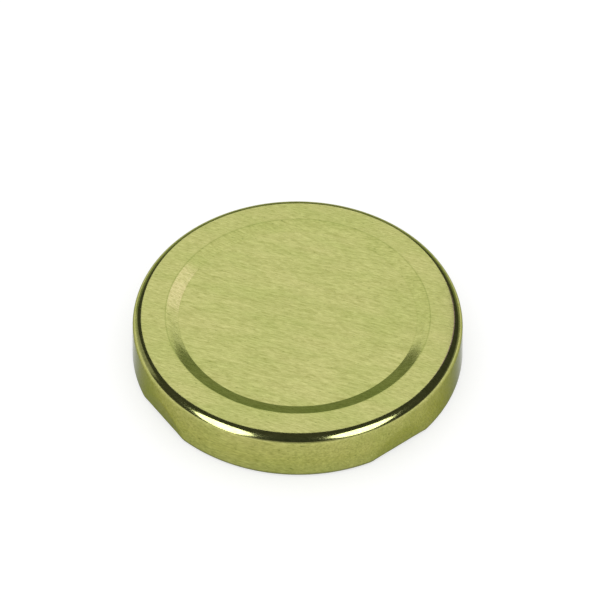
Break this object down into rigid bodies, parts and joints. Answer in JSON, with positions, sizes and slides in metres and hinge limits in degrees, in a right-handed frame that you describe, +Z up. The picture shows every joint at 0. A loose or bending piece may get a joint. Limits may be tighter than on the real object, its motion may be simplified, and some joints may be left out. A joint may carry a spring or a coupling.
{
  "type": "twist-off jar lid",
  "caption": "Drawn tinplate twist-off jar lid with sunk centre panel, rolled rim, pressed-in lugs and a sealing compound ring inside.",
  "frame": {"origin": "on the lid's axis, in the plane of the rolled rim's underside, on which it rests", "axes": "+Z up along the lid's axis, from the open mouth to the top; -Y faces the viewer"},
  "size_m": [0.066, 0.066, 0.01],
  "materials": {
    "lacquered_tinplate": "gold lacquer over fine rolled grain, semi-gloss",
    "sealing_compound": "smooth, matte"
  },
  "bodies": {
    "root": {"lid_shell": "lacquered_tinplate", "sealing_ring": "sealing_compound"}
  },
  "joints": []
}
